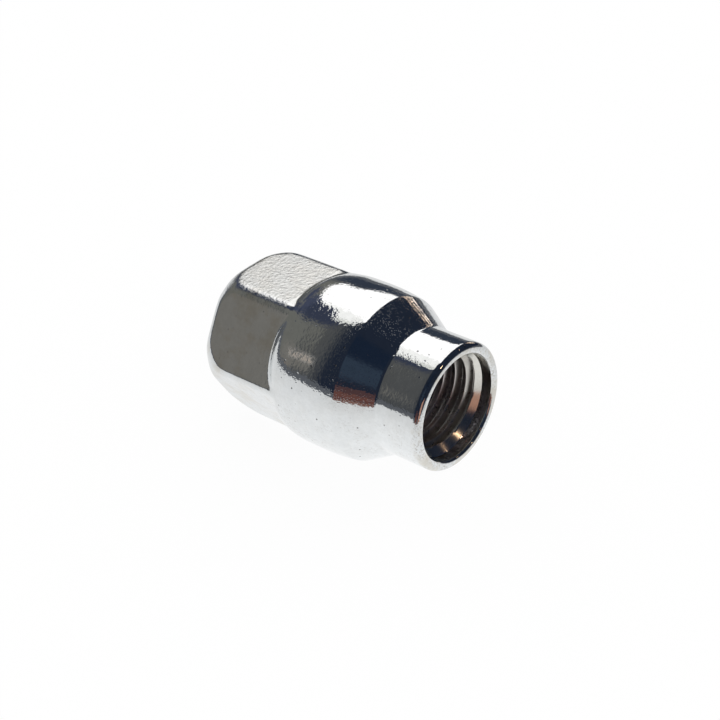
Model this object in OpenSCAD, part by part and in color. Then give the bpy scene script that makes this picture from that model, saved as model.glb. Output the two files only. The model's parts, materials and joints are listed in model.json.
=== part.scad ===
// Lug nut turned and forged in one piece: hexagon, collar, 60 degree conical seat and plain shank.
// It lies as it comes to rest, leaning back on its collar and on the end of the lowest hexagon flat.
// The origin is on the axis where the conical seat leaves the collar, and the axis leans up from +X to +Z.

/* [Hexagon] */
// Width across the flats
hex_across_flats = 17; // [16.6:0.1:17.4]
// Width across the corners, which are turned down to this diameter
hex_corner_d = 19.5; // [19.2:0.1:19.6]
// Length of the ball-shaped crown that runs the corners down to the closed end
crown_len = 5.3; // [5:0.1:5.6]
// Width of the chamfer round the closed end face
end_chamfer = 0.35; // [0.1:0.05:0.6]

/* [Collar] */
// Diameter of the plain collar
collar_d = 19.8; // [19.6:0.1:20.6]
// Length of the collar's straight side, from the seat's edge to the shoulder
collar_len = 7.4; // [6:0.1:10]
// Length of the domed shoulder that steps down from the collar to inside the flats
shoulder_len = 2.3; // [2.1:0.1:2.8]
// Radius where the shoulder turns into the collar
shoulder_r = 1.2; // [0.6:0.1:1.4]

/* [Seat and shank] */
// Included angle of the conical seat
seat_angle = 60; // [55:1:65]
// Radius on the edge between collar and seat
seat_edge_r = 0.9; // [0.3:0.1:1.2]
// Radius of the hollow between seat and shank
seat_root_r = 0.8; // [0.3:0.1:1.2]
// Diameter of the shank
shank_d = 14.6; // [14.4:0.1:15]
// Length of the shank from the seat's cone to the mouth
shank_len = 5.8; // [4:0.1:8]
// Radius on the outer edge of the mouth
mouth_edge_r = 0.7; // [0.3:0.1:0.7]

/* [Bore] */
// Diameter of the thread's crests, bored plain here (M12 x 1.5)
thread_crest_d = 10.4; // [10.3:0.05:10.7]
// Depth of the threaded wall's far end, from the mouth
thread_depth = 19; // [16:0.5:23]
// Diameter of the smooth counterbore that clears the thread
counterbore_d = 12.1; // [12:0.05:12.2]
// Depth of the counterbore
counterbore_len = 1.5; // [1.2:0.1:2]
// Radius on the inner edge of the mouth
lip_edge_r = 0.4; // [0.1:0.05:0.4]
// Angle of the drilled point at the bore's end
drill_angle = 118; // [90:1:140]
// Length of the whole nut
nut_len = 29.8; // [29.7:0.1:34]

/* [Hidden] */
arc_steps = 8;
overlap = 1;

flat_r = hex_across_flats / 2;
collar_r = collar_d / 2;
shank_r = shank_d / 2;
bore_r = thread_crest_d / 2;
counterbore_r = counterbore_d / 2;

seat_len = (collar_r - shank_r) / tan(seat_angle / 2);
mouth_x = seat_len + shank_len;
end_x = mouth_x - nut_len;
mid_collar_x = -collar_len / 2;

// The crown is a ball about the axis, as wide as the corners
crown_r = hex_corner_d / 2;
crown_x = end_x + crown_len;
end_face_r = sqrt(pow(crown_r, 2) - pow(crown_len, 2)) - end_chamfer;
flat_end_x = crown_x - sqrt(pow(crown_r, 2) - pow(flat_r, 2));

// The shoulder is a larger ball about the axis, which meets the collar's rounding at a slope of 3 in 4
rounding_x = -collar_len;
rounding_y = collar_r - shoulder_r;
dome_x = rounding_x + rounding_y * 3 / 4;
dome_r = rounding_y * 5 / 4 + shoulder_r;
dome_edge = [dome_x - dome_r * 3 / 5, dome_r * 4 / 5];
shoulder_x = rounding_x - shoulder_len;

counterbore_x = mouth_x - counterbore_len;
thread_start_x = counterbore_x - (counterbore_r - bore_r);
thread_end_x = mouth_x - thread_depth;
drill_tip_x = thread_end_x - bore_r / tan(drill_angle / 2);

// Lean at which the floor touches both the collar's rounding and the end of the lowest flat
lean_run = rounding_x - flat_end_x;
lean_rise = rounding_y - flat_r;
rest_lean = asin(shoulder_r / norm([lean_run, lean_rise])) + atan2(lean_rise, lean_run);

function unit(v) = v / norm(v);

// Arc of radius r that rounds the corner b between the lines to a and c
function corner(a, b, c, r) =
    let (
        u = unit(a - b),
        v = unit(c - b),
        half = acos(u * v) / 2,
        centre = b + unit(u + v) * r / sin(half),
        first = b + u * r / tan(half) - centre,
        last = b + v * r / tan(half) - centre,
        start = atan2(first[1], first[0]),
        turn = atan2(last[1], last[0]) - start,
        short_turn = turn > 180 ? turn - 360 : turn < -180 ? turn + 360 : turn
    )
    [for (i = [0:arc_steps]) let (t = start + short_turn * i / arc_steps) centre + r * [cos(t), sin(t)]];

// Solid turned about the X axis from a section drawn with the axis along its X and the radius along its Y
module turned() {
    rotate([0, 90, 0])
        rotate_extrude($fn = 96)
            rotate(90)
                mirror([0, 1])
                    children();
}

// Round bar that the hexagon is cut from, with its crowned and chamfered end
module crowned_bar() {
    turned()
        intersection() {
            union() {
                translate([crown_x, 0])
                    circle(r = crown_r, $fn = 96);
                translate([crown_x, 0])
                    square([mid_collar_x - crown_x, crown_r]);
            }
            polygon([
                [end_x, 0],
                [end_x, end_face_r],
                [end_x + overlap, end_face_r + overlap * tan(60)],
                [mid_collar_x, collar_d],
                [mid_collar_x, 0]
            ]);
        }
}

module hexagon_prism() {
    translate([end_x - overlap, 0, 0])
        rotate([0, 90, 0])
            rotate([0, 0, 30])
                cylinder(h = mid_collar_x - end_x + overlap, r = flat_r / cos(30), $fn = 6);
}

// Domed shoulder and its rounding into the collar
module shoulder_section() {
    intersection() {
        translate([dome_x, 0])
            circle(r = dome_r, $fn = 96);
        translate([shoulder_x, 0])
            square([dome_edge[0] - shoulder_x, collar_r]);
    }
    translate([rounding_x, rounding_y])
        circle(r = shoulder_r, $fn = 96);
}

// Collar, conical seat and shank
module front_section() {
    collar_back = [rounding_x, collar_r];
    collar_front = [0, collar_r];
    seat_root = [seat_len, shank_r];
    mouth_outer = [mouth_x, shank_r];
    mouth_centre = [mouth_x, 0];
    polygon(concat(
        [[dome_edge[0], 0], dome_edge, collar_back],
        corner(collar_back, collar_front, seat_root, seat_edge_r),
        corner(collar_front, seat_root, mouth_outer, seat_root_r),
        corner(seat_root, mouth_outer, mouth_centre, mouth_edge_r),
        [mouth_centre]
    ));
}

// Blind bore: rounded lip, counterbore, 90 degree countersink, thread crests and drilled point
module bore() {
    counterbore_end = [counterbore_x, counterbore_r];
    lip_inner = [mouth_x, counterbore_r];
    lip_outer = [mouth_x, shank_r];
    lip = corner(counterbore_end, lip_inner, lip_outer, lip_edge_r);
    turned()
        polygon(concat(
            [[drill_tip_x, 0], [thread_end_x, bore_r], [thread_start_x, bore_r], counterbore_end],
            lip,
            [[mouth_x + overlap, lip[arc_steps][1]], [mouth_x + overlap, 0]]
        ));
}

module lug_nut() {
    color([0.78, 0.79, 0.8])
        rotate([0, -rest_lean, 0])
            difference() {
                union() {
                    intersection() {
                        crowned_bar();
                        hexagon_prism();
                    }
                    turned() {
                        shoulder_section();
                        front_section();
                    }
                }
                bore();
            }
}

lug_nut();
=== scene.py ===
import json
from math import acos, asin, atan2, ceil, cos, pi, radians, sin, sqrt, tan

import bmesh
import bpy
from mathutils import Matrix, Vector


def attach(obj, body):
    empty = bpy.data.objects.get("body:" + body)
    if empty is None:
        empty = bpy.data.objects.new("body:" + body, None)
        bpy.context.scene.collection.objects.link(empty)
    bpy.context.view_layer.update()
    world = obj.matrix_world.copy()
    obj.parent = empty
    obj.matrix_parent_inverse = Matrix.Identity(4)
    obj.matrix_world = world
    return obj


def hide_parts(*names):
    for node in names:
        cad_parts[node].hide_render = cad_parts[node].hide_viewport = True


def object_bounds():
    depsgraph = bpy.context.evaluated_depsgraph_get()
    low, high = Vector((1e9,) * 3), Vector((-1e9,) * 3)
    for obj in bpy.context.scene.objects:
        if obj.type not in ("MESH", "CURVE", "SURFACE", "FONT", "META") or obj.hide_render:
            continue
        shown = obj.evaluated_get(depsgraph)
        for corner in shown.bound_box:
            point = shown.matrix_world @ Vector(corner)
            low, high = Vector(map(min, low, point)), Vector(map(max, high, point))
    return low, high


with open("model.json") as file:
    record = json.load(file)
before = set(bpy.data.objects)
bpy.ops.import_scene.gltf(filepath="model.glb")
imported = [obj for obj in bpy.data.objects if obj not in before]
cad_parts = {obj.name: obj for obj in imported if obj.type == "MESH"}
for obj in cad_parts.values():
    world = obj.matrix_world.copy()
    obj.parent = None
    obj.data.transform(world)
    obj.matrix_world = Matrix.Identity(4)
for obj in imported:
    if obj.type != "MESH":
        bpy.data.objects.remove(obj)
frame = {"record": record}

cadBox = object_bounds()
record = frame["record"]
scene = bpy.context.scene
millimetre = 0.001
print("frame loaded")

studThread = next(mount for mount in record["mounts"] if mount["name"] == "stud_thread")
nutAxis = Vector(studThread["axis"])
seatEdgePlace = Vector(studThread["pos_m"])
lean = atan2(nutAxis.z, nutAxis.x)
leanTurn = Matrix.Rotation(-lean, 4, "Y")   # from a level axis to the way the nut lies

cameraValues = {
    "azimuth": 38.766,        # degrees round from looking along +Y
    "elevation": 37.789,
    "roll": 2.094,
    "distance": 165.8,        # mm from the point looked at
    "lookAt": (-3.945, 0.482, 0.021),   # mm from the seat's edge on the axis
    "lens": 74.42,
    "clipRange": (0.01, 20),  # metres
}


def makeCamera(values):
    azimuth, elevation = radians(values["azimuth"]), radians(values["elevation"])
    back = Vector((sin(azimuth) * cos(elevation), -cos(azimuth) * cos(elevation), sin(elevation)))
    target = seatEdgePlace + Vector(values["lookAt"]) * millimetre
    camera = bpy.data.objects.new("camera", bpy.data.cameras.new("camera"))
    scene.collection.objects.link(camera)
    camera.data.lens = values["lens"]
    camera.data.clip_start, camera.data.clip_end = values["clipRange"]
    camera.data.dof.use_dof = False
    camera.location = target + back * values["distance"] * millimetre
    camera.rotation_mode = "QUATERNION"
    roll = Matrix.Rotation(radians(values["roll"]), 4, back)
    aim = (-back).to_track_quat("-Z", "Y").to_matrix().to_4x4()
    camera.rotation_quaternion = (roll @ aim).to_quaternion()
    scene.camera = camera


makeCamera(cameraValues)
print("camera set")

sizes = {                     # mm, on the nut's own axis, 0 where the seat leaves the collar
    "length": 29.86,
    "acrossFlats": 17.0,
    "cornerRadius": 9.83,     # the bar that the hexagon is pressed from
    "crownLength": 4.67,
    "crownArc": 7.1,          # runs the corners down to the closed end
    "endEdge": 0.4,
    "endFillet": 1.35,        # rounds the ends of the flats
    "cornerBlend": 0.3,       # softness of the hexagon's corners
    "wornCorners": ((-30, 0.8), (30, 0.6), (-90, 0.2)),   # degrees round, and how much softer
    "wornFocus": 24,          # the higher, the closer the wear keeps to those corners
    "crownBlend": 0.3,
    "valleyBlend": 0.3,       # between the hexagon and the shoulder
    "valleyFrom": -10.3,
    "shoulderFrom": -10.0,
    "shoulderBlend": 0.46,    # between the shoulder and the collar
    "domeCentre": -0.875,
    "domeRadius": 12.075,
    "collarRadius": 9.898,
    "collarLength": 7.4,
    "backArc": (-5.4, 10.0),  # polishing has rounded both ends of the collar: start, radius
    "frontArc": (-3.4, 22.2),
    "seatHalfAngle": 30.0,
    "seatEdge": 0.9,
    "seatRoot": 0.8,
    "shankRadius": 7.3,
    "shankLength": 5.8,
    "mouthEdge": 0.7,
    "lipEdge": 0.4,
    "lipDepth": 0.9,          # the outside's section ends this far inside the mouth
    "counterboreRadius": 6.05,
    "counterboreLength": 1.5,
    "threadCrest": 5.2,
    "threadRoot": 6.0,
    "threadPitch": 1.5,
    "threadFlank": 30.0,
    "threadRounding": (0.05, 0.1, 0.1),   # an edge of the crest, both edges of the root
    "threadTurn": 108.0,      # degrees that the thread's start is turned
    "threadDepth": 19.0,
    "threadOverrun": 1.6,     # it is made longer at both ends and cut back
    "runOutFrom": 0.3,        # mm before the thread's far end
    "runOutLength": 2.5,
    "drillAngle": 118.0,
    "sharpAngle": 38.0,       # degrees, past which an edge shows as one
    "steps": 216,             # round the nut
    "threadSteps": 96,        # round one turn of the thread
    "hexagonRows": 0.3,       # the longest steps along the axis
    "shoulderRows": 0.09,
    "frontRows": 0.5,
    "threadRows": 0.17,
    "gather": 0.7,            # how far the rows gather at the hexagon's corners
    "gatherFrom": -3.0,
    "gatherLength": 4.0,
}

seatLength = (sizes["collarRadius"] - sizes["shankRadius"]) / tan(radians(sizes["seatHalfAngle"]))
mouthX = seatLength + sizes["shankLength"]
endX = mouthX - sizes["length"]
crownX = endX + sizes["crownLength"]
counterboreX = mouthX - sizes["counterboreLength"]
countersinkX = counterboreX - (sizes["counterboreRadius"] - sizes["threadCrest"])
threadEndX = mouthX - sizes["threadDepth"]


def clamp(value):
    return min(max(value, 0), 1)


def roundCorner(bm, vert, radius, segments):
    arms = [edge.other_vert(vert).co - vert.co for edge in vert.link_edges]
    halfAngle = arms[0].angle(arms[1]) / 2
    bmesh.ops.bevel(bm, geom=[vert], offset=radius / tan(halfAngle), offset_type="OFFSET",
                    segments=segments, profile=0.5, affect="VERTICES", material=-1)


def refine(bm, low, high, longest):
    # cut the section's long edges between two places on the axis
    for edge in list(bm.edges):
        middle = (edge.verts[0].co.x + edge.verts[1].co.x) / 2
        if low <= middle <= high and edge.calc_length() > longest:
            bmesh.ops.subdivide_edges(bm, edges=[edge], cuts=ceil(edge.calc_length() / longest) - 1)


def drawArc(bm, start, centre, angle, steps):
    # from a vertex round a centre, towards +X for positive angles
    arc = bmesh.ops.spin(bm, geom=[start], cent=(centre[0], 0, centre[1]), axis=(0, 1, 0), angle=angle,
                         steps=steps, use_merge=False, use_duplicate=False)
    return next(part for part in arc["geom_last"] if isinstance(part, bmesh.types.BMVert))


def nutSection():
    # half the nut's outline, from the closed end's middle round to the counterbore
    bm = bmesh.new()
    bar = sizes["cornerRadius"]
    arc = sizes["crownArc"]
    crownStart = bm.verts.new((crownX, 0, bar))
    crownEnd = drawArc(bm, crownStart, (crownX, bar - arc), -asin(sizes["crownLength"] / arc), steps=24)
    endMiddle = bm.verts.new((endX, 0, 0))
    bm.edges.new((crownEnd, endMiddle))

    collar = sizes["collarRadius"]
    backX, backArc = sizes["backArc"]
    frontX, frontArc = sizes["frontArc"]
    backStart = bm.verts.new((backX, 0, collar))
    frontStart = bm.verts.new((frontX, 0, collar))
    bm.edges.new((backStart, frontStart))
    backAngle = asin((sizes["collarLength"] + backX) / backArc)
    collarBack = drawArc(bm, backStart, (backX, collar - backArc), -backAngle, steps=6)
    shoulderStart = bm.verts.new((sizes["shoulderFrom"], 0, bar))
    bm.edges.new((crownStart, shoulderStart))
    bm.edges.new((shoulderStart, collarBack))
    # the front arc ends on the seat's cone
    coneAngle = radians(sizes["seatHalfAngle"])
    away = frontArc * cos(coneAngle) - frontX * sin(coneAngle)
    frontAngle = coneAngle - acos(away / frontArc)
    seatStart = drawArc(bm, frontStart, (frontX, collar - frontArc), frontAngle, steps=10)
    corners = [               # place, radius, rounding, segments
        (seatLength, sizes["shankRadius"], sizes["seatRoot"], 10),
        (mouthX, sizes["shankRadius"], sizes["mouthEdge"], 14),
        (mouthX, sizes["counterboreRadius"], sizes["lipEdge"], 8),
        (mouthX - sizes["lipDepth"], sizes["counterboreRadius"], 0, 0),
    ]
    previous = seatStart
    rounded = [(crownEnd, sizes["endEdge"], 10), (seatStart, sizes["seatEdge"], 8)]
    for x, radius, rounding, segments in corners:
        vert = bm.verts.new((x, 0, radius))
        bm.edges.new((previous, vert))
        previous = vert
        if rounding:
            rounded.append((vert, rounding, segments))
    for vert, rounding, segments in rounded:
        roundCorner(bm, vert, rounding, segments)
    refine(bm, crownX, sizes["shoulderFrom"], sizes["hexagonRows"])
    refine(bm, sizes["shoulderFrom"], -sizes["collarLength"], sizes["shoulderRows"])
    refine(bm, -sizes["collarLength"], mouthX - sizes["mouthEdge"], sizes["frontRows"])
    return bm


def softMin(a, b, blend):
    overlap = max(blend - abs(a - b), 0) / blend
    return min(a, b) - overlap * overlap * blend / 4


def hexagonRadius(angle):
    # flats face up and down, corners soft
    half = sizes["acrossFlats"] / 2
    fold = (angle + pi / 6) % (pi / 3) - pi / 6
    blend = sizes["cornerBlend"]
    for place, softer in sizes["wornCorners"]:
        blend += softer * max(cos(angle - radians(place)), 0) ** sizes["wornFocus"]
    return softMin(half / cos(fold), half / cos(pi / 3 - abs(fold)), blend)


def shoulderRadius(x):
    # a dome that runs up into the collar's rounded back
    backX, backArc = sizes["backArc"]
    back = sizes["collarRadius"] - backArc + sqrt(backArc ** 2 - (x - backX) ** 2)
    dome = sqrt(sizes["domeRadius"] ** 2 - (x - sizes["domeCentre"]) ** 2)
    return softMin(back, dome, sizes["shoulderBlend"])


def endInset(x):
    fillet = sizes["endFillet"]
    into = clamp((endX + fillet - x) / fillet)
    return fillet * (1 - sqrt(1 - into * into))


def pressHexagon(bm):
    for vert in bm.verts:
        x, y, z = vert.co
        radius = sqrt(y * y + z * z)
        if radius < 1e-6:
            continue
        # gather the rows at the corners, less and less towards the seat
        angle = atan2(y, z)
        gathered = clamp((sizes["gatherFrom"] - x) / sizes["gatherLength"]) * sizes["gather"]
        angle += gathered * sin(6 * angle) / 6
        if x < -sizes["collarLength"]:
            bar = radius if x < crownX else sizes["cornerRadius"]
            radius = softMin(hexagonRadius(angle) - endInset(x), bar, sizes["crownBlend"])
            if x > sizes["valleyFrom"]:
                radius = -softMin(-radius, -shoulderRadius(x), sizes["valleyBlend"])
        vert.co = (x, radius * sin(angle), radius * cos(angle))


def turnedBody():
    bm = nutSection()
    bmesh.ops.spin(bm, geom=list(bm.verts) + list(bm.edges), cent=(0, 0, 0), axis=(1, 0, 0), angle=2 * pi,
                   steps=sizes["steps"], use_merge=True, use_duplicate=False)
    bmesh.ops.remove_doubles(bm, verts=bm.verts, dist=1e-5)
    pressHexagon(bm)
    return bm


def oneTurn():
    # the thread's section, swept once round and one pitch along
    bm = bmesh.new()
    pitch, crest, root = sizes["threadPitch"], sizes["threadCrest"], sizes["threadRoot"]
    flank = (root - crest) * tan(radians(sizes["threadFlank"]))
    rootWidth = pitch / 8
    crestWidth = pitch - 2 * flank - rootWidth
    startX = threadEndX - sizes["threadOverrun"]
    spots = [(0, crest), (crestWidth, crest), (crestWidth + flank, root),
             (crestWidth + flank + rootWidth, root), (pitch, crest)]
    verts = [bm.verts.new((startX + x, 0, radius)) for x, radius in spots]
    for first, second in zip(verts, verts[1:]):
        bm.edges.new((first, second))
    for vert, rounding in zip(verts[1:4], sizes["threadRounding"]):
        roundCorner(bm, vert, rounding, 2)
    refine(bm, startX, startX + pitch, sizes["threadRows"])
    bmesh.ops.spin(bm, geom=list(bm.verts) + list(bm.edges), cent=(0, 0, 0), axis=(1, 0, 0), angle=2 * pi,
                   dvec=(pitch / sizes["threadSteps"], 0, 0), steps=sizes["threadSteps"],
                   use_merge=False, use_duplicate=False)
    return bm


def shapeThread(bm):
    # the thread runs out before the drilled point, and a 90 degree countersink opens it
    crest = sizes["threadCrest"]
    for vert in bm.verts:
        x, y, z = vert.co
        radius = sqrt(y * y + z * z)
        runOut = clamp((x - threadEndX - sizes["runOutFrom"]) / sizes["runOutLength"])
        wanted = max(crest + (radius - crest) * runOut, crest + x - countersinkX)
        vert.co.y *= wanted / radius
        vert.co.z *= wanted / radius


def drillPoint(bm):
    rim = [edge for edge in bm.edges
           if edge.is_boundary and max(vert.co.x for vert in edge.verts) < threadEndX + 0.01]
    drawn = bmesh.ops.extrude_edge_only(bm, edges=rim)
    tip = [part for part in drawn["geom"] if isinstance(part, bmesh.types.BMVert)]
    tipX = threadEndX - sizes["threadCrest"] / tan(radians(sizes["drillAngle"] / 2))
    bmesh.ops.pointmerge(bm, verts=tip, merge_co=(tipX, 0, 0))


def threadedHole():
    bm = oneTurn()
    pitch = sizes["threadPitch"]
    turn = list(bm.verts) + list(bm.edges) + list(bm.faces)
    threadLength = counterboreX - threadEndX + 2 * sizes["threadOverrun"]
    for index in range(1, ceil(threadLength / pitch)):
        copy = bmesh.ops.duplicate(bm, geom=turn)
        moved = [part for part in copy["geom"] if isinstance(part, bmesh.types.BMVert)]
        bmesh.ops.translate(bm, vec=(pitch * index, 0, 0), verts=moved)
    bmesh.ops.remove_doubles(bm, verts=bm.verts, dist=1e-4)
    start = Matrix.Rotation(radians(sizes["threadTurn"]), 3, "X")
    bmesh.ops.rotate(bm, cent=(0, 0, 0), matrix=start, verts=bm.verts)
    shapeThread(bm)
    for place, side in ((counterboreX, 1), (threadEndX, -1)):
        bmesh.ops.bisect_plane(bm, geom=list(bm.verts) + list(bm.edges) + list(bm.faces), dist=1e-5,
                               plane_co=(place, 0, 0), plane_no=(side, 0, 0), clear_outer=True)
    bmesh.ops.remove_doubles(bm, verts=bm.verts, dist=0.004)   # slivers that the cuts leave
    drillPoint(bm)
    return bm


def joinInto(bm, other):
    holder = bpy.data.meshes.new("holder")
    other.to_mesh(holder)
    other.free()
    bm.from_mesh(holder)
    bpy.data.meshes.remove(holder)


def makeNut():
    bm = turnedBody()
    joinInto(bm, threadedHole())
    bmesh.ops.bridge_loops(bm, edges=[edge for edge in bm.edges if edge.is_boundary])
    bmesh.ops.recalc_face_normals(bm, faces=bm.faces)
    bmesh.ops.transform(bm, matrix=leanTurn @ Matrix.Scale(millimetre, 4), verts=bm.verts)
    # the softened corners let it down onto the floor
    lowest = min(vert.co.z for vert in bm.verts)
    bmesh.ops.translate(bm, vec=(0, 0, cadBox[0].z - lowest), verts=bm.verts)
    for face in bm.faces:
        face.smooth = True
    mesh = bpy.data.meshes.new("lugNut")
    bm.to_mesh(mesh)
    bm.free()
    mesh.set_sharp_from_angle(angle=radians(sizes["sharpAngle"]))
    thing = bpy.data.objects.new("lugNut", mesh)
    scene.collection.objects.link(thing)
    return thing


nut = makeNut()
print("nut turned, pressed and threaded:", len(nut.data.polygons), "faces")


def newTree(material):
    material.use_nodes = True
    tree = material.node_tree
    tree.nodes.clear()
    return tree


def add(tree, kind, settings=None, inputs=None):
    node = tree.nodes.new(kind)
    for key, value in (settings or {}).items():
        setattr(node, key, value)
    for key, value in (inputs or {}).items():
        if isinstance(value, bpy.types.NodeSocket):
            tree.links.new(value, node.inputs[key])
        else:
            node.inputs[key].default_value = value
    return node


def maths(tree, operation, first, second=0.0, third=0.0):
    return add(tree, "ShaderNodeMath", {"operation": operation}, {0: first, 1: second, 2: third}).outputs[0]


def product(tree, first, *others):
    for other in others:
        first = maths(tree, "MULTIPLY", first, other)
    return first


def total(tree, first, *others):
    for other in others:
        first = maths(tree, "ADD", first, other)
    return first


rising, falling = (0.0, 1.0), (1.0, 0.0)


def fade(tree, value, span, levels=rising):
    # runs smoothly from the first level to the second over the span
    return add(tree, "ShaderNodeMapRange", {"interpolation_type": "SMOOTHSTEP"},
               {"Value": value, "From Min": span[0], "From Max": span[1],
                "To Min": levels[0], "To Max": levels[1]}).outputs[0]


def mixValue(tree, factor, first, second):
    return add(tree, "ShaderNodeMix", {"data_type": "FLOAT"}, {0: factor, 2: first, 3: second}).outputs[0]


def mixColour(tree, factor, first, second):
    return add(tree, "ShaderNodeMix", {"data_type": "RGBA"}, {0: factor, 6: first, 7: second}).outputs[2]


def scaled(tree, vector, level):
    return add(tree, "ShaderNodeVectorMath", {"operation": "SCALE"}, {0: vector, "Scale": level}).outputs[0]


def stretched(tree, vector, scale):
    return add(tree, "ShaderNodeMapping", None, {"Vector": vector, "Scale": scale}).outputs[0]


def noise(tree, vector, scale, octaves, roughness):
    return add(tree, "ShaderNodeTexNoise", None,
               {"Vector": vector, "Scale": scale, "Detail": octaves, "Roughness": roughness}).outputs["Fac"]


def patches(tree, vector, pattern, levels=rising):
    # soft patches, where a noise passes from its low to its high threshold
    scale, octaves, roughness, low, high = pattern
    return fade(tree, noise(tree, vector, scale, octaves, roughness), (low, high), levels)


def speckles(tree, vector, scale, radius, share):
    # small round pits in some cells of a random pattern
    cells = add(tree, "ShaderNodeTexVoronoi", None, {"Vector": vector, "Scale": scale})
    pick = add(tree, "ShaderNodeSeparateColor", None, {0: cells.outputs["Color"]}).outputs[0]
    chosen = maths(tree, "LESS_THAN", pick, share)
    spot = fade(tree, cells.outputs["Distance"], (radius * 0.25, radius), falling)
    return product(tree, spot, chosen)


def finish(tree, shader):
    output = add(tree, "ShaderNodeOutputMaterial")
    tree.links.new(shader.outputs[0], output.inputs["Surface"])


def linear(red, green, blue):
    # a colour as it shows, 0 to 255, as the linear value the shaders take
    def channel(value):
        value /= 255
        return value / 12.92 if value <= 0.04045 else ((value + 0.055) / 1.055) ** 2.4
    return (channel(red), channel(green), channel(blue), 1)


chromeValues = {
    "colour": (0.83, 0.855, 0.865, 1),
    "countersinkColour": (0.76, 0.75, 0.70, 1),
    "threadColour": (0.66, 0.64, 0.60, 1),
    "boreColour": (0.74, 0.70, 0.72, 1),       # thin plate deep in the bore
    "topFlatPaintedShade": (0.67, 0.685, 0.665, 1),      # painted shade, the upper flat darker and greyer than the rest
    "wornColour": (0.78, 0.69, 0.60, 1),       # a rubbed place on the collar, its warm tint a painted gleam
    "dirtColour": (0.10, 0.09, 0.085, 1),      # in the bottoms of a few pits
    "grimeColour": (0.36, 0.32, 0.27, 1),      # specks in patches, most of them round the mouth
    "stainColour": (0.72, 0.69, 0.62, 1),      # thin dull film in large soft patches
    "grime": (0.12, 0.25, 0.55),               # how much on the hexagon, on the rest, at the mouth
    "stain": (0.6, 0.1, 0.8),
    "endStain": 0.2,                           # what of it is left on the closed end
    "upperGrime": 0.15,                        # and of grime patches on the upper side
    "scuffed": 0.5,                            # how far the rubbed place scatters light
    "cloudiness": (0.95, 1.02),                # darkest and lightest share of the colour

    "roughness": 0.04,
    "flatRoughness": 0.08,
    "topRoughness": 0.15,
    "wornRoughness": 0.3,
    "countersinkRoughness": 0.19,
    "boreRoughness": 0.3,
    "unevenness": (0.85, 1.15),                # least and greatest share of the roughness

    "relief": 0.000060,                        # metres, the height of 1 in the depths below
    "topPeel": 0.9,                            # orange peel on the upper flat
    "flatPeel": 0.15,                          # on the other flats
    "forgedPeel": 0.3,                         # on the back of the collar
    "machinedPeel": 0.24,                      # on its front
    "turnedPeel": 0.16,                        # on the seat and the shank
    "borePeel": 0.05,
    "forgedGrain": 0.06,
    "flatGrain": 0.02,
    "machinedGrain": 0.012,
    "turningMarks": 0.008,
    "rubs": 0.3,
    "pitDepth": 0.3,
    "fineDepth": (0.015, 0.28),                # share of that for fine pits: least, greatest
    "forgedPits": 0.4,                         # where the collar's back lies between the two
    "shankPits": 0.12,                         # and the shank
    "flatPits": 0.3,                           # share of the wide pits' depth on the flats

    # mm along the axis, where finishes change over
    "hexagonEnds": (-9.6, -9.2),
    "topFlatEnds": (-8.2, -7.9),
    "forgedEnds": (-6.4, -4.4),
    "seatStarts": (-1.2, -0.2),
    "rubStarts": (-6.7, -5.6),
    "rubEnds": (-3.2, -2.1),
    "rubAngle": -56.0,                         # degrees round from the top
    "rubWidth": (0.8, 4.2),                    # degrees to each side
    "mouthStarts": (-1.2, -0.2),               # from the mouth
    "boreStarts": (-0.5, -0.35),
    "threadDarkens": (-8.0, -2.7),
    "threadStarts": (-0.1, 0.1),               # from the countersink's end
    "shankStarts": (-0.4, 0.4),                # from the seat's end
    "endStarts": (0.2, 1.2),                   # from the closed end
    "insideStarts": (0.5, 1.5),                # so that the closed end isn't taken for the bore
    "boreEdge": (6.04, 6.1),                   # mm from the axis
    "topFlatEdge": (0.03, 0.16),               # mm off the flat's plane
    "upperSide": (0.78, 0.88),                 # height over distance from the axis
    "grimeHeights": (-3.0, 2.0),               # mm above the axis

    # features per mm, octaves, roughness of the octaves
    "peelNoise": (2.9, 1.0, 0.6),
    "crumpleNoise": (2.4, 4.0, 0.62),
    "grainNoise": (4.2, 1.0, 0.6),
    "rubNoise": (7.0, 2.0, 0.6),
    "markNoise": (1.0, 2.0, 0.6),
    "markStretch": (16.0, 0.45, 0.45),

    # the same, then the thresholds between which a patch grows to full strength
    "rubPatches": (1.0, 3.0, 0.6, 0.36, 0.58),
    "rubStretch": (5.0, 2.0, 2.0),
    "unevenPatches": (0.9, 3.0, 0.6, 0.3, 0.7),
    "dirtPatches": (0.7, 2.0, 0.6, 0.45, 0.6),
    "grimePatches": (0.5, 2.0, 0.6, 0.42, 0.62),
    "grimeSpecks": (4.0, 4.0, 0.75, 0.5, 0.62),
    "stainPatches": (0.32, 3.0, 0.7, 0.42, 0.66),
    "cloudPatches": (1.1, 4.0, 0.7, 0.3, 0.7),

    # cells per mm, radius in cells, share of the cells
    "finePits": (9.0, 0.42, 0.4),
    "fineStretch": (1.4, 0.85, 0.85),
    "widePits": (1.4, 0.2, 0.35),
}


def shifted(span, place):
    return (span[0] + place, span[1] + place)


def nutPlaces(tree):
    # turned onto the nut's axis and scaled to millimetres
    place = add(tree, "ShaderNodeTexCoord").outputs["Object"]
    onAxis = add(tree, "ShaderNodeMapping", {"vector_type": "POINT"},
                 {"Vector": place, "Rotation": (0, lean, 0), "Scale": (1000, 1000, 1000)}).outputs[0]
    parts = add(tree, "ShaderNodeSeparateXYZ", None, {0: onAxis}).outputs
    outwards = add(tree, "ShaderNodeCombineXYZ", None, {"Y": parts["Y"], "Z": parts["Z"]}).outputs[0]
    radius = add(tree, "ShaderNodeVectorMath", {"operation": "LENGTH"}, {0: outwards}).outputs["Value"]
    angle = maths(tree, "ARCTAN2", parts["Y"], parts["Z"])
    return {"onAxis": onAxis, "along": parts["X"], "up": parts["Z"], "radius": radius, "angle": angle}


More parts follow.
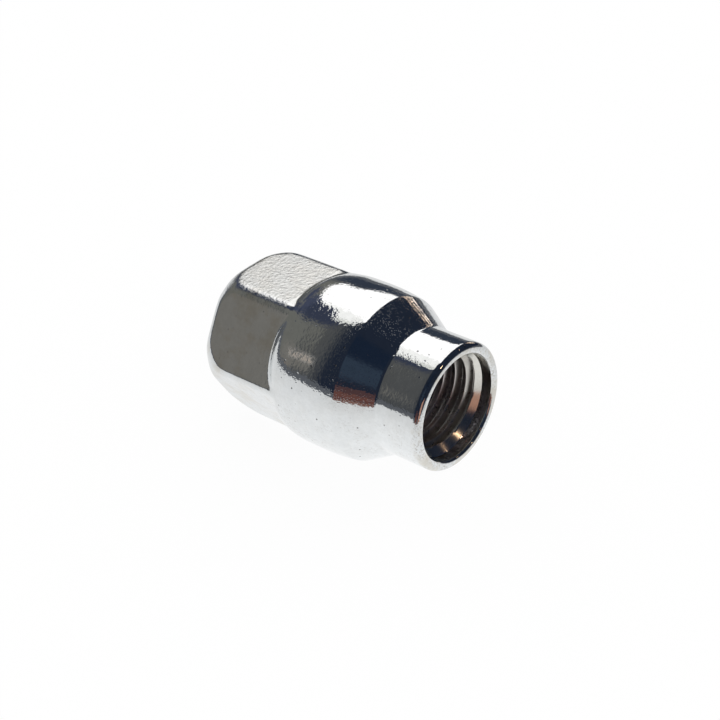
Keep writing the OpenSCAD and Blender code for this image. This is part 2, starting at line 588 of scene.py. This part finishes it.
def finishZones(tree, values, at):
    # each zone is 1 where its finish lies and 0 elsewhere
    def alongSpan(name, levels=rising, start=0.0):
        return fade(tree, at["along"], shifted(values[name], start), levels)

    zones = {
        "hexagon": alongSpan("hexagonEnds", falling),
        "forged": alongSpan("forgedEnds", falling),
        "seat": alongSpan("seatStarts"),
        "mouth": alongSpan("mouthStarts", start=mouthX),
        "thread": alongSpan("threadStarts", falling, countersinkX),
        "deep": alongSpan("threadDarkens", falling, mouthX),
        "offEnd": alongSpan("endStarts", start=endX),
    }
    # past the mouth's lip, and short of the closed end's middle
    zones["bore"] = product(tree, fade(tree, at["radius"], values["boreEdge"], falling),
                            alongSpan("boreStarts", falling, mouthX),
                            alongSpan("insideStarts", start=endX))
    # the upper flat, which takes a painted shade and its own roughness
    offPlane = maths(tree, "ABSOLUTE", maths(tree, "SUBTRACT", at["up"], sizes["acrossFlats"] / 2))
    zones["topFlat"] = product(tree, fade(tree, offPlane, values["topFlatEdge"], falling),
                               alongSpan("topFlatEnds", falling))
    steepness = maths(tree, "DIVIDE", at["up"], at["radius"])
    zones["upperSide"] = product(tree, fade(tree, steepness, values["upperSide"]), zones["hexagon"])
    offShank = alongSpan("shankStarts", (1.0, values["shankPits"]), seatLength)
    zones["cone"] = product(tree, zones["seat"], offShank)
    # a rubbed strip along the collar, rougher and scratched, whose warm colour is a painted gleam
    aside = maths(tree, "ABSOLUTE", maths(tree, "SUBTRACT", at["angle"], radians(values["rubAngle"])))
    rubWidth = [radians(angle) for angle in values["rubWidth"]]
    rubs = patches(tree, stretched(tree, at["onAxis"], values["rubStretch"]), values["rubPatches"])
    zones["worn"] = product(tree, fade(tree, aside, rubWidth, falling),
                            alongSpan("rubStarts"), alongSpan("rubEnds", falling), rubs)
    return zones


def widePitsOf(tree, values, at, zones):
    onFlats = mixValue(tree, zones["hexagon"], 1.0, values["flatPits"])
    wide = product(tree, speckles(tree, at["onAxis"], *values["widePits"]), onFlats)
    return mixValue(tree, zones["bore"], wide, 0.0)


def reliefOf(tree, values, at, zones, widePits):
    # orange peel, fine grain, turning marks and pits
    onAxis = at["onAxis"]
    peelDepth = mixValue(tree, zones["forged"], values["machinedPeel"], values["forgedPeel"])
    peelDepth = mixValue(tree, zones["seat"], peelDepth, values["turnedPeel"])
    peelDepth = mixValue(tree, zones["hexagon"], peelDepth, values["flatPeel"])
    peelDepth = mixValue(tree, zones["bore"], peelDepth, values["borePeel"])
    peel = product(tree, noise(tree, onAxis, *values["peelNoise"]), peelDepth)
    crumpled = product(tree, noise(tree, onAxis, *values["crumpleNoise"]), values["topPeel"])
    peel = mixValue(tree, zones["upperSide"], peel, crumpled)
    rubbed = product(tree, noise(tree, onAxis, *values["rubNoise"]), zones["worn"], values["rubs"])

    grainDepth = mixValue(tree, zones["forged"], values["machinedGrain"], values["forgedGrain"])
    grainDepth = mixValue(tree, zones["hexagon"], grainDepth, values["flatGrain"])
    grain = product(tree, noise(tree, onAxis, *values["grainNoise"]), grainDepth)

    markDepth = mixValue(tree, zones["forged"], values["turningMarks"], 0.0)
    marks = noise(tree, stretched(tree, onAxis, values["markStretch"]), *values["markNoise"])
    marks = product(tree, marks, markDepth)

    onForged = product(tree, zones["forged"], mixValue(tree, zones["hexagon"], values["forgedPits"], 0.0))
    fineDepth = mixValue(tree, maths(tree, "MAXIMUM", zones["cone"], onForged), *values["fineDepth"])
    finePits = speckles(tree, stretched(tree, onAxis, values["fineStretch"]), *values["finePits"])
    pits = total(tree, product(tree, finePits, fineDepth), widePits)
    pits = product(tree, pits, -values["pitDepth"])

    height = total(tree, peel, rubbed, grain, marks, pits)
    bump = {"Strength": 1.0, "Distance": values["relief"], "Height": height}
    return add(tree, "ShaderNodeBump", None, bump).outputs[0]


def roughnessOf(tree, values, at, zones):
    rough = mixValue(tree, zones["hexagon"], values["roughness"], values["flatRoughness"])
    rough = mixValue(tree, zones["topFlat"], rough, values["topRoughness"])
    rough = mixValue(tree, zones["worn"], rough, values["wornRoughness"])
    inside = mixValue(tree, zones["thread"], values["countersinkRoughness"], values["boreRoughness"])
    rough = mixValue(tree, zones["bore"], rough, inside)
    return product(tree, rough, patches(tree, at["onAxis"], values["unevenPatches"], values["unevenness"]))


def colourOf(tree, values, at, zones, widePits):
    onAxis = at["onAxis"]
    inside = mixColour(tree, zones["deep"], values["threadColour"], values["boreColour"])
    inside = mixColour(tree, zones["thread"], values["countersinkColour"], inside)
    # painted shade: the upper flat is darker and greyer than the other flats
    colour = mixColour(tree, zones["topFlat"], values["colour"], values["topFlatPaintedShade"])
    # painted gleam: the rubbed strip's warm colour
    colour = mixColour(tree, zones["worn"], colour, values["wornColour"])
    colour = mixColour(tree, zones["bore"], colour, inside)
    dirt = product(tree, widePits, patches(tree, onAxis, values["dirtPatches"]))
    colour = mixColour(tree, dirt, colour, values["dirtColour"])

    def share(levels):
        onHexagon, elsewhere, atMouth = levels
        ahead = mixValue(tree, zones["mouth"], elsewhere, atMouth)
        return mixValue(tree, zones["hexagon"], ahead, onHexagon)

    lower = fade(tree, at["up"], values["grimeHeights"], (1.0, values["upperGrime"]))
    dirtier = product(tree, patches(tree, onAxis, values["grimePatches"]), lower)
    grime = product(tree, patches(tree, onAxis, values["grimeSpecks"]),
                    maths(tree, "MAXIMUM", dirtier, zones["mouth"]), share(values["grime"]))
    colour = mixColour(tree, grime, colour, values["grimeColour"])
    stain = product(tree, patches(tree, onAxis, values["stainPatches"]), share(values["stain"]))
    stain = mixValue(tree, zones["topFlat"], stain, 0.0)
    stain = product(tree, stain, mixValue(tree, zones["offEnd"], values["endStain"], 1.0))
    colour = mixColour(tree, stain, colour, values["stainColour"])
    return scaled(tree, colour, patches(tree, onAxis, values["cloudPatches"], values["cloudiness"]))


def brightChrome(values):
    material = bpy.data.materials.new("brightChrome")
    tree = newTree(material)
    at = nutPlaces(tree)
    zones = finishZones(tree, values, at)
    widePits = widePitsOf(tree, values, at, zones)
    finish(tree, add(tree, "ShaderNodeBsdfPrincipled", None, {
        "Base Color": colourOf(tree, values, at, zones, widePits),
        "Metallic": mixValue(tree, zones["worn"], 1.0, 1 - values["scuffed"]),
        "Roughness": roughnessOf(tree, values, at, zones),
        "Normal": reliefOf(tree, values, at, zones, widePits),
    }))
    return material


nut.data.materials.append(brightChrome(chromeValues))
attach(nut, "root")
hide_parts("lug_nut")
print("chrome laid on")

stageValues = {               # metres
    "floorZ": cadBox[0].z,
    "floorRadius": 3.0,
    "paperRadius": 0.11,      # past it the chrome mirrors a dark table
    "paperEdge": 0.001,       # softness of that change, to each side
    "roomRadius": 2.0,
    "roomDepth": 0.001,       # its wall ends this far under the floor
    "farCards": 1.5,          # how far the window and the lamps are
    "nearCards": 0.112,       # how far the table's edge is
    "windowStrength": 1.08,
    "streakStrength": 1.5,
    "paperLevel": 0.72,       # brightness of the mirrored paper far from the nut
    "paintedPoolGain": 0.53,        # and the painted pool of light added to it close by
    "paintedPoolReach": 0.022,
    "paperSeen": 1.035,       # brightness of the paper to the eye
    "seenShare": 0.9,         # the rest of it is lit and holds the shadow
    "paperColour": (0.9, 0.9, 0.9, 1),
    "skyLight": 0.75,
    "tableShade": (52, 57, 66),
    "roomShade": (29, 36, 49),
}


def mirrored(red, green, blue):
    # what a thing must give for the chrome to show this colour
    shown = linear(red, green, blue)
    return tuple(level / tint for level, tint in zip(shown[:3], chromeValues["colour"])) + (1,)


def makeFloor(values):
    bm = bmesh.new()
    bmesh.ops.create_circle(bm, cap_ends=True, cap_tris=False, segments=96, radius=values["floorRadius"])
    bmesh.ops.translate(bm, vec=(0, 0, values["floorZ"]), verts=bm.verts)
    mesh = bpy.data.meshes.new("floor")
    bm.to_mesh(mesh)
    bm.free()
    floor = bpy.data.objects.new("floor", mesh)
    scene.collection.objects.link(floor)

    material = bpy.data.materials.new("whitePaper")
    tree = newTree(material)
    path = add(tree, "ShaderNodeLightPath").outputs
    place = add(tree, "ShaderNodeTexCoord").outputs["Object"]
    away = add(tree, "ShaderNodeVectorMath", {"operation": "LENGTH"}, {0: place}).outputs["Value"]
    # painted pool of light: the paper mirrored in the chrome is brightest close to the nut
    near = maths(tree, "EXPONENT", product(tree, away, -1 / values["paintedPoolReach"]))
    level = maths(tree, "MULTIPLY_ADD", near, values["paintedPoolGain"], values["paperLevel"])
    paper = scaled(tree, (1, 1, 1), level)
    edge = shifted((-values["paperEdge"], values["paperEdge"]), values["paperRadius"])
    pastPaper = fade(tree, away, edge)
    inChrome = add(tree, "ShaderNodeEmission", None, {
        "Color": mixColour(tree, pastPaper, paper, mirrored(*values["tableShade"])),
        "Strength": path["Is Glossy Ray"]})
    seen = total(tree, path["Is Camera Ray"], path["Is Transmission Ray"])
    toEye = add(tree, "ShaderNodeEmission", None, {
        "Color": (1, 1, 1, 1), "Strength": product(tree, seen, values["paperSeen"])})
    bright = add(tree, "ShaderNodeAddShader", None, {0: inChrome.outputs[0], 1: toEye.outputs[0]})
    sheet = add(tree, "ShaderNodeBsdfDiffuse", None, {"Color": values["paperColour"]})
    anySeen = total(tree, seen, path["Is Glossy Ray"])
    finish(tree, add(tree, "ShaderNodeMixShader", None, {
        0: product(tree, anySeen, values["seenShare"]), 1: sheet.outputs[0], 2: bright.outputs[0]}))
    mesh.materials.append(material)


def towards(bearing, height):
    # bearing 0 along +Y and 90 along +X, height above the horizon, in degrees
    b, h = radians(bearing), radians(height)
    return Vector((sin(b) * cos(h), cos(b) * cos(h), sin(h)))


# The room that the chrome mirrors, as colours that the chrome shows.
# Each patch: bearing, height, angle where it is full, angle where it ends, colour.
roomPatches = [
    (-34, 5, 18, 34, (52, 57, 66)),
    (-90, 0, 54, 67, (73, 75, 76)),
    (-90, 0, 46.5, 52, (99, 100, 96)),
    (-30, 5, 12, 22, (48, 55, 67)),
    (-80, 32, 8, 16, (62, 68, 86)),
    (-131, 9, 9, 16, (107, 106, 102)),
    (-134, -4, 3, 10, (110, 104, 98)),
    (-91, 44.5, 8, 17, (50, 56, 72)),
    (154, 35, 9, 18, (43, 54, 68)),
    (140, 60, 8, 18, (22, 32, 48)),
    (-66, 14, 5, 12, (58, 64, 84)),
]


def glow(tree, colour, strength=1.0):
    finish(tree, add(tree, "ShaderNodeEmission", None, {"Color": colour, "Strength": strength}))


def mirroredOnly(name, bm):
    # puts the mesh on the stage where only the chrome sees it, and gives its empty material
    mesh = bpy.data.meshes.new(name)
    bm.to_mesh(mesh)
    bm.free()
    material = bpy.data.materials.new(name)
    material.cycles.emission_sampling = "NONE"
    mesh.materials.append(material)
    thing = bpy.data.objects.new(name, mesh)
    scene.collection.objects.link(thing)
    thing.visible_camera = False
    thing.visible_diffuse = False
    thing.visible_shadow = False
    thing.visible_transmission = False
    return newTree(material)


def roomColour(tree, values):
    place = add(tree, "ShaderNodeTexCoord").outputs["Object"]
    direction = add(tree, "ShaderNodeVectorMath", {"operation": "NORMALIZE"}, {0: place}).outputs[0]
    colour = mirrored(*values["roomShade"])
    for bearing, height, full, end, shade in roomPatches:
        spread = add(tree, "ShaderNodeVectorMath", {"operation": "DOT_PRODUCT"},
                     {0: direction, 1: towards(bearing, height)}).outputs["Value"]
        angle = maths(tree, "ARCCOSINE", spread)
        share = fade(tree, angle, (radians(full), radians(end)), falling)
        colour = mixColour(tree, share, colour, mirrored(*shade))
    return colour


def makeRoom(values):
    bm = bmesh.new()
    bmesh.ops.create_uvsphere(bm, u_segments=64, v_segments=32, radius=values["roomRadius"])
    bmesh.ops.bisect_plane(bm, geom=list(bm.verts) + list(bm.edges) + list(bm.faces), dist=1e-6,
                           plane_co=(0, 0, values["floorZ"] - values["roomDepth"]), plane_no=(0, 0, -1),
                           clear_outer=True)
    tree = mirroredOnly("room", bm)
    glow(tree, roomColour(tree, values))


def makeCard(name, corners, colour, distance, strength=1.0):
    # a flat card whose corners lie in these directions, seen from the nut
    directions = [towards(bearing, height) for bearing, height in corners]
    middle = sum(directions, Vector()).normalized()
    bm = bmesh.new()
    bm.faces.new([bm.verts.new(way * distance / way.dot(middle)) for way in directions])
    glow(mirroredOnly(name, bm), mirrored(*colour), strength)


def upright(bearings, heights):
    return [(bearings[0], heights[0]), (bearings[1], heights[0]),
            (bearings[1], heights[1]), (bearings[0], heights[1])]


# Bearing and height of each corner.
windowCorners = [(-26, 10), (-33, 17), (-40, 20), (-53, 20.5), (-64, 31), (-72, 39), (-77, 46), (-84, 49),
                 (-98, 50.5), (-98, 62.5), (-82, 64), (-60, 78), (-20, 80), (-18, 45)]
windowSide = windowCorners[5:11] + [(-72, 71)]
windowEdge = upright((-98, -90), (50.5, 62))
# Name, bearings, heights, colour.
tableCards = [
    ("tableEdgeLow", (146, 178), (-9, -2.2), (114, 84, 76)),
    ("tableGap", (146, 178), (-2.2, -0.8), (72, 52, 54)),
    ("tableEdgeHigh", (146, 178), (-0.8, 6), (94, 63, 58)),
    ("tableShade", (146, 178), (6, 13), (72, 53, 54)),
    ("warmWall", (110, 130), (-8, 20), (165, 128, 112)),
]
# Narrow bright bars: heights, colour.
streakBearings = (-22, -2)
streaks = [
    ((4.45, 5.95), (255, 240, 226)),
    ((9.45, 10.95), (255, 232, 206)),
    ((14.5, 15.5), (226, 200, 178)),
]
# Name, bearing, height, spread, colour, radiance.
lamps = [
    ("lampHigh", 73, 43.7, 1.2, (1, 0.68, 0.43), 24),
    ("lampLow", 33.5, 29.5, 1.2, (1, 0.64, 0.4), 4),
]


def makeLamp(name, bearing, height, spread, colour, radiance, distance):
    lamp = bpy.data.lights.new(name, "AREA")
    lamp.shape = "DISK"
    lamp.size = 2 * distance * sin(radians(spread))
    lamp.color = colour
    lamp.energy = radiance * pi * pi * (lamp.size / 2) ** 2
    thing = bpy.data.objects.new(name, lamp)
    scene.collection.objects.link(thing)
    thing.location = towards(bearing, height) * distance
    thing.rotation_mode = "QUATERNION"
    thing.rotation_quaternion = towards(bearing, height).to_track_quat("Z", "Y")
    thing.visible_camera = False
    thing.visible_diffuse = False


def makeWorld(values):
    world = bpy.data.worlds.new("world")
    scene.world = world
    world.use_nodes = True
    tree = world.node_tree
    tree.nodes.clear()
    path = add(tree, "ShaderNodeLightPath").outputs
    seen = maths(tree, "MAXIMUM", path["Is Camera Ray"], path["Is Glossy Ray"])
    seen = maths(tree, "MAXIMUM", seen, path["Is Transmission Ray"])
    # white to the eye, and a little less bright as light
    level = maths(tree, "MULTIPLY_ADD", seen, 1 - values["skyLight"], values["skyLight"])
    sky = add(tree, "ShaderNodeBackground", None, {"Color": (1, 1, 1, 1), "Strength": level})
    output = add(tree, "ShaderNodeOutputWorld")
    tree.links.new(sky.outputs[0], output.inputs["Surface"])


makeFloor(stageValues)
makeRoom(stageValues)
far, close = stageValues["farCards"], stageValues["nearCards"]
makeCard("window", windowCorners, (255, 255, 255), far, stageValues["windowStrength"])
# its duller parts are a little nearer, so that they lie in front of it
makeCard("windowSide", windowSide, (241, 242, 240), far * 0.98)
makeCard("windowEdge", windowEdge, (213, 215, 211), far * 0.97)
for index, (heights, colour) in enumerate(streaks):
    makeCard("streak%d" % index, upright(streakBearings, heights), colour, far,
             stageValues["streakStrength"])
for name, bearings, heights, colour in tableCards:
    makeCard(name, upright(bearings, heights), colour, close)
for name, bearing, height, spread, colour, radiance in lamps:
    makeLamp(name, bearing, height, spread, colour, radiance, far)
makeWorld(stageValues)
scene.view_settings.view_transform = "Standard"
print("stage lit")
